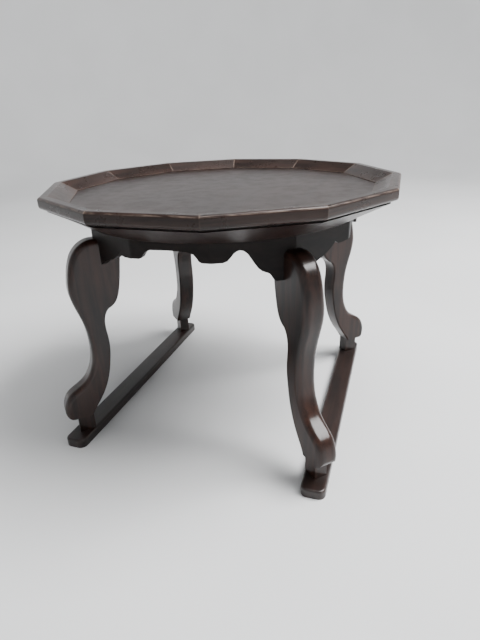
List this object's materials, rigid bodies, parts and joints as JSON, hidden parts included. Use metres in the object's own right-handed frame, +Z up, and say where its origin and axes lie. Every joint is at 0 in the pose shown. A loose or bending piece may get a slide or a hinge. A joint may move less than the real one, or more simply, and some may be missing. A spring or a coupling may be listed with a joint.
{
  "type": "low tray table",
  "caption": "Low wooden tray table: twelve-sided top with a raised mitred rim, scalloped apron, curved plank legs and floor runners",
  "frame": {"origin": "centre of the footprint at floor level: the table's upright axis meets the floor plane of the runner soles", "axes": "+Z is up, +Y runs along the floor runners towards the back, +X is to the right when seen from the front"},
  "size_m": [0.4056, 0.4056, 0.3],
  "materials": {
    "top_board_wood": "dark brown glossy lacquer",
    "rim_wood": "dark brown satin lacquer, worn at the edges",
    "apron_wood": "near-black satin lacquer",
    "leg_wood": "dark red-brown satin lacquer, worn on the knees and toes",
    "runner_wood": "dark brown satin lacquer, scuffed"
  },
  "bodies": {
    "root": {"top_board": "top_board_wood", "rim_strip_01": "rim_wood", "rim_strip_02": "rim_wood", "rim_strip_03": "rim_wood", "rim_strip_04": "rim_wood", "rim_strip_05": "rim_wood", "rim_strip_06": "rim_wood", "rim_strip_07": "rim_wood", "rim_strip_08": "rim_wood", "rim_strip_09": "rim_wood", "rim_strip_10": "rim_wood", "rim_strip_11": "rim_wood", "rim_strip_12": "rim_wood", "apron_front_left": "apron_wood", "apron_front_right": "apron_wood", "apron_back_right": "apron_wood", "apron_back_left": "apron_wood", "leg_front_left": "leg_wood", "leg_front_right": "leg_wood", "leg_back_right": "leg_wood", "leg_back_left": "leg_wood", "runner_left": "runner_wood", "runner_right": "runner_wood"}
  },
  "joints": []
}
